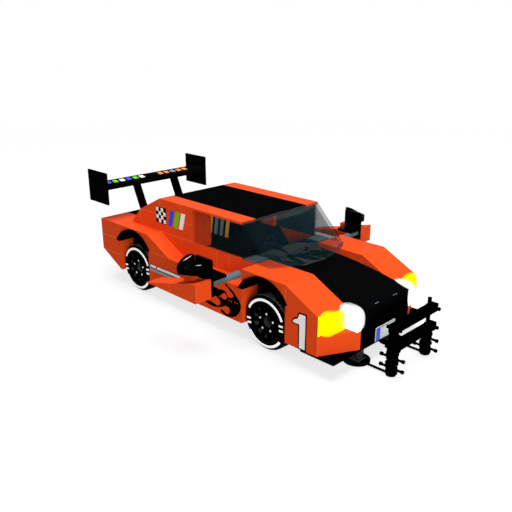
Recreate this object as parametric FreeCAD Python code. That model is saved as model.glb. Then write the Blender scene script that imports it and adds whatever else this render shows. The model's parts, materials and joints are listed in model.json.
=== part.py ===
import FreeCAD, Part
import os

# Brick-built toy race car. X forward, Y left, Z up, floor at zero, all lengths in millimetres.

# Lengths along the car, from the tail forward
deck_length = 16.0
pillar_low_run = 8.0
pillar_high_run = 16.0
window_length = 32.0
tail_length = 16.0
rear_slope_run = 16.0
sill_length = 48.0
front_slope_run = 16.0
nose_reach = 8.0

# Widths
cabin_half = 24.0
side_width = 8.0
rail_width = 8.0

# Heights from the floor up
ground_gap = 8.0
side_height = 16.0
shoulder_height = 8.0
cabin_height = 16.0
pillar_low_rise = 8.0
tail_rise = 8.0

# Walls and panels
shell_wall = 1.6
panel = 3.2
roof_thick = 1.0
floor_thick = 3.2
glass = 1.2
side_pillar_length = 8.0
side_pillar_depth = 2.8
net_thick = 0.8

# Wheels and axles
tyre_radius = 11.7
tyre_width = 7.6
tyre_crown = 0.8
tyre_wall = 3.9
rim_lip = 0.9
rim_dish = 2.4
hub_radius = 3.0
axle_radius = 1.6
axle_fit = 0.05
axle_end_gap = 0.1
axle_head_lip = 0.8
axle_head_thick = 0.6
wheel_inset = 1.2
wheel_side_gap = 0.4
well_reach = 4.0
wheel_end_gap = 0.3
carrier_length = 8.0
carrier_above = 2.4

# Arches
arch_crown = 1.2
liner_thick = 1.6
liner_proud = 1.2
liner_lap = 0.9

# Rear wing
wing_overhang = 9.1
wing_chord = 17.0
end_plate_thick = 0.8
end_plate_height = 16.0
end_plate_rise = 8.0
plane_chord = 8.8
plane_thick = 3.1
plane_rise = 7.4
plane_round = 1.0
strut_thick = 1.6
strut_spread = 12.0
strut_lean = 7.2
strut_foot_x = 8.4
strut_chord = 5.6

# Windscreen
screen_run = 16.0
screen_bulge = 7.6

# Hood, nose and lamps
hood_rear_drop = 2.0
hood_front_drop = 8.4
hood_crown = 1.4
number_plate_half = 6.4
number_plate_height = 5.6
number_plate_thick = 0.5
lamp_height = 8.0
lamp_depth = 3.2
lamp_cheek = 0.4
white_lamp_thick = 2.4
tail_lamp_width = 7.0
tail_lamp_height = 3.4
tail_lamp_proud = 0.4
splitter_thick = 0.8
splitter_lap = 8.0

# Side pods on their arms
pod_reach = 16.0
pod_width = 8.0
pod_length = 32.0
pod_height = 8.0
pod_wall = 1.6
tube_radius_out = 1.1
tube_radius_in = 1.6
tube_below = 2.6
bowl_back = 5.7
bowl_out = 3.1
bowl_radius = 4.2
bowl_wall = 0.9
bowl_low = 2.2
bowl_high = 4.8
bowl_floor = 0.9
lobe_back = 9.0
lobe_out = 4.8
lobe_radius = 3.6
lobe_base = 1.9
lobe_low = 3.0
lobe_high = 8.4
side_plate_length = 9.2
side_plate_thick = 1.2
side_plate_height = 7.6
side_plate_chamfer = 0.8
arm_plate_length = 8.0
arm_plate_width = 8.0
arm_plate_thick = 1.2
arm_block_length = 4.0
arm_block_width = 1.4
arm_block_height = 5.6
rest_block_back = 12.8
rest_block_length = 4.8
rest_block_width = 3.2

# Front frame
foot_ahead = 3.8
foot_spread = 11.9
foot_radius = 5.4
foot_thick = 0.8
foot_clear = 0.4
grey_post_side = 3.8
grey_flange = 0.6
grey_flange_thick = 0.8
post_ahead = 11.6
post_radius = 1.9
link_radius = 0.5
beam_height = 3.3
beam_depth = 3.0
low_beam_top = 13.2
high_beam_top = 21.2
beam_left_end = 16.4
beam_right_end = 13.6
pin_radius = 0.5
pin_reach = 5.2
tie_radius = 0.8
tie_above = 3.4

# Cabin fittings
seat_width = 12.0
seat_depth = 12.0
seat_height = 4.8
seat_back_height = 12.8
seat_back_thick = 3.2
seat_side = 10.4
seat_gap_back = 6.4
steering_radius = 3.5
steering_tube = 0.4
steering_hub = 0.8
steering_drop = 4.8
column_radius = 0.7
column_length = 16.8
dash_depth = 6.4
dash_length = 8.0

# Sockets for studs under the floor
socket_radius = 2.4
socket_pitch_x = 32.0
socket_pitch_y = 16.0

overrun = 1.0

# Places that follow from the sizes
body_half = cabin_half + side_width
centre_half = cabin_half - rail_width
floor_z = ground_gap
ledge_z = floor_z + side_height
belt_z = ledge_z + shoulder_height
roof_z = belt_z + cabin_height
well_length = 2 * (tyre_radius + wheel_end_gap)
pillar_mid_x = deck_length + pillar_low_run
roof_rear = pillar_mid_x + pillar_high_run
rear_well_end = tail_length + well_length
rear_slope_end = rear_well_end + rear_slope_run
front_x = rear_slope_end + sill_length
roof_front = front_x - dash_length
window_rear = roof_front - window_length
front_well_end = front_x + well_length
lamp_x = front_well_end + front_slope_run
nose_x = lamp_x + nose_reach
rear_axle_x = tail_length + well_length / 2
front_axle_x = front_x + well_length / 2
arch_sagitta = shoulder_height - arch_crown
arch_radius = ((well_length / 2) ** 2 + arch_sagitta ** 2) / (2 * arch_sagitta)
arch_z = belt_z - arch_crown - arch_radius
wheel_outer = body_half - wheel_inset
wheel_inner = wheel_outer - tyre_width
carrier_half = wheel_inner - wheel_side_gap
lamp_z = ledge_z - lamp_height
lamp_half = body_half - lamp_cheek
pod_inner = body_half + pod_reach
foot_x = lamp_x + foot_ahead
post_x = nose_x + post_ahead
x_mid = (post_x + pin_reach - wing_overhang) / 2

os.makedirs("parts", exist_ok=True)
written = []


def vec(x, y, z):
    return FreeCAD.Vector(x, y, z)


def box(x0, x1, y0, y1, z0, z1):
    return Part.makeBox(x1 - x0, y1 - y0, z1 - z0, vec(x0, y0, z0))


def prism_y(points, y0, y1):
    wire = Part.makePolygon([vec(x, y0, z) for x, z in points + points[:1]])
    return Part.Face(wire).extrude(vec(0, y1 - y0, 0))


def prism_x(points, x0, x1):
    wire = Part.makePolygon([vec(x0, y, z) for y, z in points + points[:1]])
    return Part.Face(wire).extrude(vec(x1 - x0, 0, 0))


def prism_z(points, z0, z1):
    wire = Part.makePolygon([vec(x, y, z0) for x, y in points + points[:1]])
    return Part.Face(wire).extrude(vec(0, 0, z1 - z0))


def cyl_x(y, z, radius, x0, x1):
    return Part.makeCylinder(radius, x1 - x0, vec(x0, y, z), vec(1, 0, 0))


def cyl_y(x, z, radius, y0, y1):
    return Part.makeCylinder(radius, y1 - y0, vec(x, y0, z), vec(0, 1, 0))


def cyl_z(x, y, radius, z0, z1):
    return Part.makeCylinder(radius, z1 - z0, vec(x, y, z0), vec(0, 0, 1))


def mirrored(shape):
    return shape.mirror(vec(0, 0, 0), vec(0, 1, 0))


def export(name, *shapes):
    solids = []
    for shape in shapes:
        moved = shape.copy()
        moved.translate(vec(-x_mid, 0, 0))
        solids.extend(moved.Solids)
    whole = solids[0] if len(solids) == 1 else Part.makeCompound(solids)
    whole.exportStep("parts/" + name + ".step")
    written.append(name)


def export_pair(name, *shapes):
    export(name, *shapes, *[mirrored(shape) for shape in shapes])


def export_sides(name, *shapes):
    export(name + "_left", *shapes)
    export(name + "_right", *[mirrored(shape) for shape in shapes])


def turned(side, axle_x):
    wire = Part.makePolygon([vec(0, y, r) for r, y in side + side[:1]])
    body = Part.Face(wire).revolve(vec(0, 0, 0), vec(0, 1, 0), 360)
    body.translate(vec(axle_x, 0, tyre_radius))
    return body


# Floor with its wheel wells, slots for the axle carriers and stud sockets
floor_plate = box(0, lamp_x, -cabin_half, cabin_half, floor_z, floor_z + floor_thick)
for well_start, well_end in ((tail_length, rear_well_end), (front_x, front_well_end)):
    middle = (well_start + well_end) / 2
    slot = box(middle - carrier_length / 2, middle + carrier_length / 2, -carrier_half, carrier_half, 0, ledge_z)
    floor_plate = floor_plate.cut(slot)
    for y0, y1 in ((carrier_half, body_half), (-body_half, -carrier_half)):
        floor_plate = floor_plate.cut(box(well_start, well_end, y0, y1, 0, ledge_z))
tail_cut = [(-overrun, 0), (tail_length, 0), (tail_length, floor_z), (0, floor_z + tail_rise),
            (-overrun, floor_z + tail_rise)]
floor_plate = floor_plate.cut(prism_y(tail_cut, -body_half, body_half))
socket_middle = (rear_slope_end + front_x) / 2
for x in (socket_middle - socket_pitch_x / 2, socket_middle + socket_pitch_x / 2):
    for y in (-socket_pitch_y / 2, socket_pitch_y / 2):
        floor_plate = floor_plate.cut(cyl_z(x, y, socket_radius, 0, ledge_z))
for y0, y1 in ((centre_half, body_half), (-body_half, -centre_half)):
    floor_plate = floor_plate.cut(box(front_well_end, lamp_x + overrun, y0, y1, 0, ledge_z))
export("floor_plate", floor_plate)

# Axle carriers, wheel wells, axles and wheels
rim_radius = tyre_radius - tyre_wall
tread_edge = tyre_radius - tyre_crown
tyre_side = [(rim_radius, wheel_inner), (tread_edge, wheel_inner), (tyre_radius, wheel_inner + tyre_crown),
             (tyre_radius, wheel_outer - tyre_crown), (tread_edge, wheel_outer), (rim_radius, wheel_outer)]
rim_bore = axle_radius + axle_fit
rim_floor = wheel_outer - rim_dish
rim_side = [(rim_bore, wheel_inner), (rim_radius, wheel_inner), (rim_radius, wheel_outer),
            (rim_radius - rim_lip, wheel_outer), (rim_radius - rim_lip, rim_floor), (rim_bore, rim_floor)]
head_start = rim_floor + axle_end_gap
axle_end = head_start + axle_head_thick
wheel_wells = {"rear": (tail_length - well_reach, rear_well_end, belt_z - panel),
               "front": (front_x, front_well_end, ledge_z)}
for name, axle_x in (("rear", rear_axle_x), ("front", front_axle_x)):
    carrier = box(axle_x - carrier_length / 2, axle_x + carrier_length / 2, -carrier_half, carrier_half, floor_z,
                  tyre_radius + axle_radius + carrier_above)
    carrier = carrier.cut(cyl_y(axle_x, tyre_radius, axle_radius, -body_half, body_half))
    export("axle_carrier_" + name, carrier)
    well_start, well_end, well_top = wheel_wells[name]
    well = box(well_start, well_end, carrier_half - shell_wall, carrier_half, floor_z + floor_thick, well_top)
    gap = box(axle_x - carrier_length / 2, axle_x + carrier_length / 2, 0, body_half, floor_z,
              tyre_radius + axle_radius + carrier_above)
    export_pair("wheel_well_" + name, well.cut(gap))
    head = cyl_y(axle_x, tyre_radius, axle_radius + axle_head_lip, head_start, axle_end)
    axle = cyl_y(axle_x, tyre_radius, axle_radius, -axle_end, axle_end).fuse([head, mirrored(head)])
    export("axle_" + name, axle.removeSplitter())
    export_sides("tyre_" + name, turned(tyre_side, axle_x))
    export_sides("rim_" + name, turned(rim_side, axle_x))


# Rear fenders with the deck's side strips
def arch_cut(axle_x):
    end = body_half + overrun
    above = box(axle_x - arch_radius, axle_x + arch_radius, cabin_half, end, ledge_z, belt_z)
    return cyl_y(axle_x, arch_z, arch_radius, cabin_half, end).common(above)


outline = [(0, floor_z + tail_rise), (tail_length, floor_z), (tail_length, ledge_z), (rear_slope_end, ledge_z),
           (rear_well_end, belt_z), (0, belt_z)]
fender = prism_y(outline, cabin_half, body_half).cut(arch_cut(rear_axle_x))
fender = fender.fuse(box(0, deck_length, centre_half, cabin_half, belt_z - panel, belt_z))
export_pair("fender_rear", fender.removeSplitter())

# Sills and doors
sill = box(rear_well_end, front_x, cabin_half, body_half, floor_z, ledge_z)
hollow = box(rear_well_end + shell_wall, front_x - shell_wall, cabin_half + shell_wall, body_half - shell_wall,
             floor_z - overrun, ledge_z - shell_wall)
export_pair("sill", sill.cut(hollow))
door = box(rear_well_end, front_x, cabin_half - shell_wall, cabin_half, floor_z + floor_thick, belt_z)
export_pair("door_wall", door)

# Front fenders with pockets for the lamps
outline = [(front_x, ledge_z), (front_well_end, ledge_z), (front_well_end, floor_z), (lamp_x, floor_z),
           (lamp_x, ledge_z), (front_well_end, belt_z), (front_x, belt_z)]
fender = prism_y(outline, centre_half, body_half).cut(arch_cut(front_axle_x))
pocket = box(lamp_x - lamp_depth, lamp_x + overrun, centre_half, lamp_half, lamp_z, ledge_z)
core = box(front_well_end + shell_wall, lamp_x - lamp_depth - shell_wall, centre_half + shell_wall, body_half - shell_wall,
           floor_z - overrun, ledge_z - shell_wall)
inner = box(front_x + shell_wall, front_well_end, centre_half + shell_wall, cabin_half - shell_wall,
            ledge_z - overrun, belt_z - shell_wall)
export_pair("fender_front", fender.cut(pocket).cut(core).cut(inner))

# Arch liners
for name, axle_x in (("rear", rear_axle_x), ("front", front_axle_x)):
    ring = cyl_y(axle_x, arch_z, arch_radius, cabin_half, body_half)
    ring = ring.fuse(cyl_y(axle_x, arch_z, arch_radius + liner_lap, body_half, body_half + liner_proud))
    ring = ring.cut(cyl_y(axle_x, arch_z, arch_radius - liner_thick, 0, body_half + liner_proud + overrun))
    reach = arch_radius + liner_lap
    keep = box(axle_x - reach, axle_x + reach, 0, body_half + liner_proud, ledge_z, belt_z)
    export_pair("arch_liner_" + name, ring.common(keep).removeSplitter())

# Lamps, bumper corners and splitter
export_pair("lamp_yellow", box(lamp_x - lamp_depth, lamp_x, centre_half, lamp_half, lamp_z, ledge_z))
export_pair("lamp_white", box(lamp_x, nose_x, centre_half, centre_half + white_lamp_thick, lamp_z, ledge_z))
corner = [(lamp_x, centre_half), (nose_x, centre_half), (lamp_x, body_half)]
export_pair("bumper_corner", prism_z(corner, floor_z, lamp_z))
export("splitter", box(lamp_x - splitter_lap, nose_x, -body_half, body_half, floor_z - splitter_thick, floor_z))

# Hood, nose and number plate
hood_start = vec(front_x, 0, belt_z - hood_rear_drop)
hood_end = vec(nose_x, 0, belt_z - hood_front_drop)
hood_middle = hood_start.add(hood_end).multiply(0.5).add(vec(0, 0, hood_crown))
down = vec(0, 0, -panel)
hood_wire = Part.Wire([Part.Arc(hood_start, hood_middle, hood_end).toShape(),
                       Part.makeLine(hood_end, hood_end.add(down)),
                       Part.Arc(hood_start.add(down), hood_middle.add(down), hood_end.add(down)).toShape(),
                       Part.makeLine(hood_start.add(down), hood_start)])
hood = Part.Face(hood_wire).extrude(vec(0, centre_half, 0))
hood = hood.fuse(mirrored(hood)).removeSplitter()
export("hood", hood)
nose = box(lamp_x, nose_x, -centre_half, centre_half, floor_z, hood_end.z)
export("nose", nose.cut(hood))
export("number_plate", box(nose_x, nose_x + number_plate_thick, -number_plate_half, number_plate_half,
                           floor_z, floor_z + number_plate_height))

# Cowl with the instrument shelf
export("cowl", box(front_x - dash_length, front_x, shell_wall - cabin_half, cabin_half - shell_wall,
                   belt_z - dash_depth, belt_z))

# Rear deck, rear screen and roof
export("rear_deck", box(0, deck_length, -centre_half, centre_half, belt_z - panel, belt_z))
slope = [(deck_length, belt_z), (pillar_mid_x, belt_z + pillar_low_rise), (roof_rear, roof_z),
         (roof_rear, roof_z - panel), (pillar_mid_x + shell_wall, belt_z + pillar_low_rise - panel),
         (deck_length + panel, belt_z - panel), (deck_length, belt_z - panel)]
export("rear_screen", prism_y(slope, -centre_half, centre_half))
side = [(deck_length, belt_z), (pillar_mid_x, belt_z + pillar_low_rise), (roof_rear, roof_z), (roof_rear, belt_z)]
export_pair("rear_pillar", prism_y(side, centre_half, cabin_half))
roof_under = roof_z - roof_thick
export("roof_panel", box(roof_rear, roof_front, -centre_half, centre_half, roof_under, roof_z))
export_pair("roof_rail", box(roof_rear, roof_front, centre_half, cabin_half, roof_under, roof_z))
export_pair("quarter_wall", box(roof_rear, window_rear, cabin_half - shell_wall, cabin_half, belt_z, roof_under))
pillar_out = cabin_half - glass
export_pair("side_pillar", box(window_rear, window_rear + side_pillar_length, pillar_out - side_pillar_depth, pillar_out,
                               belt_z, roof_under))
export_pair("side_window", box(window_rear, roof_front, cabin_half - glass, cabin_half, belt_z, roof_under))
net = box(window_rear + side_pillar_length, roof_front, pillar_out - net_thick, pillar_out, belt_z, roof_under)
export("window_net", net)
export("tail_panel", box(0, panel, -cabin_half, cabin_half, floor_z + tail_rise, belt_z - panel))
lamp_top = belt_z - panel
tail_lamp = box(-tail_lamp_proud, 0, cabin_half - tail_lamp_width, cabin_half, lamp_top - tail_lamp_height, lamp_top)
export_pair("lamp_tail", tail_lamp)


# Windscreen: bowed pane leaning back, flat header and three-cornered cheeks
def bow_wire(x, z):
    arc = Part.Arc(vec(x, -cabin_half, z), vec(x + screen_bulge, 0, z), vec(x, cabin_half, z)).toShape()
    return Part.Wire([arc, Part.makeLine(vec(x, cabin_half, z), vec(x, -cabin_half, z))])


bowed = Part.makeLoft([bow_wire(roof_front + screen_run, belt_z), bow_wire(roof_front, roof_z)], True, True)
cheeks = prism_y([(roof_front, belt_z), (roof_front + screen_run, belt_z), (roof_front, roof_z)], -cabin_half, cabin_half)
screen = bowed.fuse(cheeks).removeSplitter()
inside = screen.copy()
inside.translate(vec(-glass, 0, -glass))
keep = box(roof_front - glass - overrun, nose_x, glass - cabin_half, cabin_half - glass, 0, roof_z - glass)
export("windscreen", screen.cut(inside.common(keep)))

# Rear wing
plate_z = belt_z + end_plate_rise
plate_x = -wing_overhang
end_plate = box(plate_x, plate_x + wing_chord, body_half - end_plate_thick, body_half, plate_z, plate_z + end_plate_height)
export_pair("wing_end_plate", end_plate)
plane_z = plate_z + plane_rise
plane_front = plate_x + wing_chord
plane_rear = plane_front - plane_chord
plane_top = plane_z + plane_thick
plane_side = [(plane_rear, plane_z), (plane_front - plane_round, plane_z), (plane_front, plane_z + plane_round),
              (plane_front, plane_top), (plane_rear, plane_top)]
plane_half = body_half - end_plate_thick
export("wing_plane", prism_y(plane_side, -plane_half, plane_half))
strut_side = [(strut_foot_x, belt_z), (strut_foot_x + strut_chord, belt_z),
              (strut_foot_x + strut_chord - strut_lean, plane_z), (strut_foot_x - strut_lean, plane_z)]
export_pair("wing_strut", prism_y(strut_side, strut_spread - strut_thick / 2, strut_spread + strut_thick / 2))

# Side pods
pod_top = ledge_z + pod_height
pod_start = front_x - pod_length
wedge = [(pod_start, ledge_z), (front_x, ledge_z), (front_x, pod_top)]
pod = prism_y(wedge, pod_inner, pod_inner + pod_width)
ramp_share = pod_height / pod_length
rest_x = front_x - rest_block_back
rest_low = ledge_z + (rest_x - pod_start) * ramp_share
rest = box(rest_x, rest_x + rest_block_length, pod_inner, pod_inner + rest_block_width, rest_low, pod_top)
export_pair("pod", pod.fuse(rest).removeSplitter())
block_y = pod_inner - arm_block_width
tube_x = front_x - tube_radius_in
tube_z = pod_top - tube_below
tube = Part.makeCone(tube_radius_in, tube_radius_out, block_y - body_half, vec(tube_x, body_half, tube_z), vec(0, 1, 0))
export_pair("pod_tube", tube)
bowl_x = front_x - bowl_back
bowl_y = pod_inner + bowl_out
bowl = cyl_z(bowl_x, bowl_y, bowl_radius, pod_top + bowl_low, pod_top + bowl_high)
bowl_bore = cyl_z(bowl_x, bowl_y, bowl_radius - bowl_wall, pod_top + bowl_low + bowl_floor, roof_z)
lobe_x = front_x - lobe_back
lobe_y = pod_inner + lobe_out
lobe = cyl_z(lobe_x, lobe_y, lobe_radius, pod_top, roof_z)
lobe_in = lobe_y - lobe_radius
lobe_end = lobe_y + lobe_radius
lobe_side = [(lobe_in, pod_top + lobe_base), (lobe_end, pod_top + lobe_base),
             (lobe_end, pod_top + lobe_low), (lobe_in, pod_top + lobe_high)]
lobe = lobe.common(prism_x(lobe_side, lobe_x - lobe_radius, lobe_x + lobe_radius))
plate_start = front_x - side_plate_length
plate_top = pod_top + side_plate_height
plate_side = [(plate_start, pod_top), (front_x, pod_top), (front_x, plate_top - side_plate_chamfer),
              (front_x - side_plate_chamfer, plate_top), (plate_start, plate_top)]
side_plate = prism_y(plate_side, pod_inner - side_plate_thick, pod_inner)
arm = box(front_x - arm_plate_length, front_x, pod_inner - arm_plate_width, pod_inner, pod_top - arm_plate_thick, pod_top)
block = box(front_x - arm_block_length, front_x, block_y, pod_inner, pod_top - arm_block_height, pod_top)
export_pair("pod_cup", bowl.cut(bowl_bore).fuse([lobe, side_plate, arm, block]).removeSplitter())

# Front frame
disc_top = foot_clear + foot_thick
under = floor_z - splitter_thick
export_pair("frame_foot", cyl_z(foot_x, foot_spread, foot_radius, foot_clear, disc_top))
half = grey_post_side / 2
wide = half + grey_flange
column = box(foot_x - half, foot_x + half, foot_spread - half, foot_spread + half, disc_top, under)
flange = box(foot_x - wide, foot_x + wide, foot_spread - wide, foot_spread + wide, disc_top, disc_top + grey_flange_thick)
export_pair("frame_grey_post", column.fuse(flange).removeSplitter())
low_beam_z = low_beam_top - beam_height
post = cyl_z(post_x, foot_spread, post_radius, foot_clear, low_beam_z)
pin_span = low_beam_z - foot_clear
pin_shares = (0.3, 0.75)
for share in pin_shares:
    level = foot_clear + pin_span * share
    post = post.fuse(cyl_x(foot_spread, level, pin_radius, post_x - pin_reach, post_x + pin_reach))
export_pair("frame_black_post", post.removeSplitter())
link_z = disc_top - foot_thick / 2
link = cyl_x(foot_spread, link_z, link_radius, foot_x + foot_radius, post_x)
export_pair("frame_link", link.cut(cyl_z(foot_x, foot_spread, foot_radius, 0, under)).cut(post))
for name, top in (("low", low_beam_top), ("high", high_beam_top)):
    beam = box(post_x - beam_depth / 2, post_x + beam_depth / 2, -beam_right_end, beam_left_end, top - beam_height, top)
    export("frame_beam_" + name, beam)
high_beam_z = high_beam_top - beam_height
tie = cyl_z(post_x, foot_spread, tie_radius, low_beam_top, high_beam_z)
cap = cyl_z(post_x, foot_spread, tie_radius, high_beam_top, high_beam_top + tie_above)
stem = cyl_z(post_x, -foot_spread, post_radius, low_beam_top, high_beam_z)
export("frame_tie", tie, stem, cap)

# Seat and steering wheel
seat_z = floor_z + floor_thick
seat_front = roof_front - column_length - seat_gap_back
seat_back = seat_front - seat_depth
y0 = seat_side - seat_width / 2
y1 = seat_side + seat_width / 2
cushion = box(seat_back, seat_front, y0, y1, seat_z, seat_z + seat_height)
back = box(seat_back - seat_back_thick, seat_back, y0, y1, seat_z, seat_z + seat_height + seat_back_height)
export("seat", cushion.fuse(back).removeSplitter())
wheel_x = front_x - dash_length - column_length
wheel_z = belt_z - steering_drop
ring = Part.makeTorus(steering_radius, steering_tube, vec(wheel_x, seat_side, wheel_z), vec(1, 0, 0))
spoke = box(wheel_x - steering_tube / 2, wheel_x + steering_tube / 2, seat_side - steering_radius,
            seat_side + steering_radius, wheel_z - steering_tube, wheel_z + steering_tube)
hub = cyl_x(seat_side, wheel_z, steering_hub, wheel_x - steering_tube, wheel_x + steering_tube)
stalk = cyl_x(seat_side, wheel_z, column_radius, wheel_x, wheel_x + column_length)
export("steering_wheel", ring.fuse([spoke, hub, stalk]).removeSplitter())

print(len(written), "nodes, middle at", round(x_mid, 3))
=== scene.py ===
import json
import math
from functools import partial

import bmesh
import bpy
from bpy.props import FloatProperty, FloatVectorProperty, IntProperty, PointerProperty
from mathutils import Matrix, Vector
from mathutils.bvhtree import BVHTree


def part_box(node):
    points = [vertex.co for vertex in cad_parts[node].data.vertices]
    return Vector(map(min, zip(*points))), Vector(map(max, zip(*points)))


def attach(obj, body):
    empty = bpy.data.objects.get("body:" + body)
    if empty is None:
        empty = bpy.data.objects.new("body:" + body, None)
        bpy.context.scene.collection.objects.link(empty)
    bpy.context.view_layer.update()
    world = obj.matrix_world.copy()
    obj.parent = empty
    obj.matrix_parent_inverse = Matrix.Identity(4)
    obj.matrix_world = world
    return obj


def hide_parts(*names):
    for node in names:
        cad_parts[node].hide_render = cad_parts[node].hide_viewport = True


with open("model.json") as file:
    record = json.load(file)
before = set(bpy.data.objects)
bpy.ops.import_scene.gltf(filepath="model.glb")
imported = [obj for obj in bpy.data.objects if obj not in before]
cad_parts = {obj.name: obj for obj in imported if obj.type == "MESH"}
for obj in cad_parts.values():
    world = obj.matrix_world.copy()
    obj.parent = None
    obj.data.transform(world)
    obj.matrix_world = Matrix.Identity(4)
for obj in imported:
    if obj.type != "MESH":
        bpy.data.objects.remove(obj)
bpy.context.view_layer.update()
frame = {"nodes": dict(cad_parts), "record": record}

bl_info = {
    "name": "Brick-built race car",
    "version": (1, 0, 0),
    "blender": (4, 5, 0),
    "location": "3D View > Sidebar > Race Car",
    "description": "Dresses the packed toy race car: finishes, tyres, rims, prints, lamps and front frame",
    "category": "Object",
}

MM = 0.001
PITCH = 8 * MM  # one brick
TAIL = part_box("rear_deck")[0][0]
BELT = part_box("rear_deck")[1][2]
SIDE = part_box("fender_rear")[1][1]
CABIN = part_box("quarter_wall")[1][1]
WALL = 1.6 * MM  # the moulded side walls
LAYER = 0.06 * MM  # from one print to the next on top of it
WHEELS = [(a + "_" + b, "wheel_" + a + "_" + b) for a in ("front", "rear") for b in ("left", "right")]

# The camera fitted to the photograph: place in pitches, angles in degrees, focal length in pixels
CAMERA_AT = (34.286, -24.081, 11.055)
CAMERA_YAW = 135.231
CAMERA_PITCH = -19.511
FOCAL_PIXELS = 625.94
PHOTO_PIXELS = 512
SENSOR_MM = 36


def grid(x, y, z):
    """A point counted in brick pitches from the tail, the middle and the belt line."""
    return Vector((TAIL + x * PITCH, y * PITCH, BELT + z * PITCH))


def linear(text):
    """An sRGB hex colour as linear RGBA."""
    parts = [int(text[i:i + 2], 16) / 255 for i in (0, 2, 4)]
    return tuple(c / 12.92 if c <= 0.04045 else ((c + 0.055) / 1.055) ** 2.4 for c in parts) + (1.0,)


def size(name, text, default):
    """A length the sidebar can change."""
    return FloatProperty(name=name, description=text, default=default, unit="LENGTH", precision=5)


def tint(name, text, code):
    """A colour the sidebar can change, given as sRGB hex."""
    return FloatVectorProperty(name=name, description=text, default=linear(code), size=4, subtype="COLOR",
                               min=0, max=1)


class RaceCarSizes(bpy.types.PropertyGroup):
    edge: size("Edge", "Rounding of the moulded edges", 0.14 * MM)
    seam: size("Seam", "Width of the joint between two bricks", 0.32 * MM)
    weave: size("Weave", "Cell of the woven print on the black panels", 0.8 * MM)
    print_thick: size("Print", "Thickness of a printed sticker", 0.08 * MM)
    ring_inner: size("White ring inside", "Inner radius of the white ring on the tyre wall", 9.3 * MM)
    ring_outer: size("White ring outside", "Outer radius of the white ring on the tyre wall", 10.4 * MM)
    tread_depth: size("Tread", "Depth of the tread grooves", 0.35 * MM)
    spoke_width: size("Spoke", "Width of one rim spoke", 0.6 * MM)
    strut_side: size("Lattice bar", "Side of one lattice bar of the grey posts", 0.5 * MM)
    glow_reach: size("Glow", "How far the lamps' soft glow reaches", 1.2 * MM)
    spokes: IntProperty(name="Spokes", description="Spokes on each rim", default=10, min=5, max=20)


class RaceCarColours(bpy.types.PropertyGroup):
    orange: tint("Orange", "Moulded shell", "EB4D1D")
    # Painted highlight: the lighter orange drawn on the brick joints of the side walls
    seam_orange: tint("Seam", "Light catching the brick joints", "F07444")
    black: tint("Black", "Black shell and prints", "020203")
    weave_light: tint("Weave", "Raised threads of the woven print", "0A0B0B")
    rubber: tint("Rubber", "Tyres", "030404")
    white: tint("White", "Tyre rings and prints", "FFFFFF")
    smoke: tint("Smoke", "Clear windows", "0A1C20")
    tube_grey: tint("Tube grey", "Clear grey arms", "5E7276")
    post_grey: tint("Post grey", "Lattice posts", "2C2D2E")
    white_light: tint("White lamp", "Lit white lamp", "FFFFFF")
    yellow_light: tint("Yellow lamp", "Lit yellow lamp", "FFFF00")
    green: tint("Green", "Print", "5FD400")
    blue: tint("Blue", "Print", "1E50F0")
    cyan: tint("Cyan", "Print", "22C6D2")
    amber: tint("Amber", "Print", "F09030")
    red: tint("Red", "Tail lamps", "8C0A0A")


def sizes():
    return bpy.context.scene.race_car_sizes


def colours():
    return bpy.context.scene.race_car_colours


# Materials

def add_node(tree, kind, inputs=None, **settings):
    """Adds one node and returns its outputs; an input is a constant or the socket that feeds it."""
    node = tree.nodes.new("ShaderNode" + kind)
    for key, value in settings.items():
        setattr(node, key, value)
    for key, value in (inputs or {}).items():
        if isinstance(value, bpy.types.NodeSocket):
            tree.links.new(value, node.inputs[key])
        else:
            node.inputs[key].default_value = value
    return node.outputs


def start_material(name):
    """An empty material, what adds a node to it, and the place on the object."""
    material = bpy.data.materials.new(name)
    material.use_nodes = True
    material.node_tree.nodes.clear()
    add = partial(add_node, material.node_tree)
    return material, add, add("TexCoord")["Object"]


def end_material(add, inputs):
    """Adds the Principled shader with its inputs and leads it to the output."""
    shader = add("BsdfPrincipled", inputs)[0]
    add("OutputMaterial", {"Surface": shader})


def grain(add, where, step, strength, height=0.02 * MM):
    """Fine moulded grain: noise whose cell is step metres wide, and the bump it makes."""
    noise = add("TexNoise", {"Vector": where, "Scale": 1 / step, "Detail": 2.0})["Fac"]
    return noise, add("Bump", {"Height": noise, "Strength": strength, "Distance": height})[0]


def line_mask(add, axis, place, half):
    """One within half of place along an axis, nothing elsewhere."""
    off = add("Math", {0: axis, 1: place}, operation="SUBTRACT")[0]
    off = add("Math", {0: off}, operation="ABSOLUTE")[0]
    return add("Math", {0: off, 1: half}, operation="LESS_THAN")[0]


def seen_directly(add):
    """One for rays from the camera, a shine or a clear piece, nothing for those that light the car."""
    rays = add("LightPath")
    seen = rays["Is Camera Ray"]
    for kind in ("Is Glossy Ray", "Is Transmission Ray"):
        seen = add("Math", {0: seen, 1: rays[kind]}, operation="ADD", use_clamp=True)[0]
    return seen


# Joints seen on the side walls, in pitches: the place they keep, and where they begin and end
UPRIGHT_JOINTS = ((2, -1, 0), (3, 0, 1), (5, 1, 2), (7, 1, 2), (7, -0.3, 0), (10, -1, 0), (11, -1, 0), (16, -1, -0.2))
LEVEL_JOINTS = ((1, 3, 8), (0, 5, 8), (-1, 0, 2), (-1, 5, 6.8), (-2, 0, 2))
BRICK_JOINTS = [("X", grid(x, 0, 0).x, "Z", grid(0, 0, a).z, grid(0, 0, b).z) for x, a, b in UPRIGHT_JOINTS]
BRICK_JOINTS += [("Z", grid(0, 0, z).z, "X", grid(a, 0, 0).x, grid(b, 0, 0).x) for z, a, b in LEVEL_JOINTS]


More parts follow.
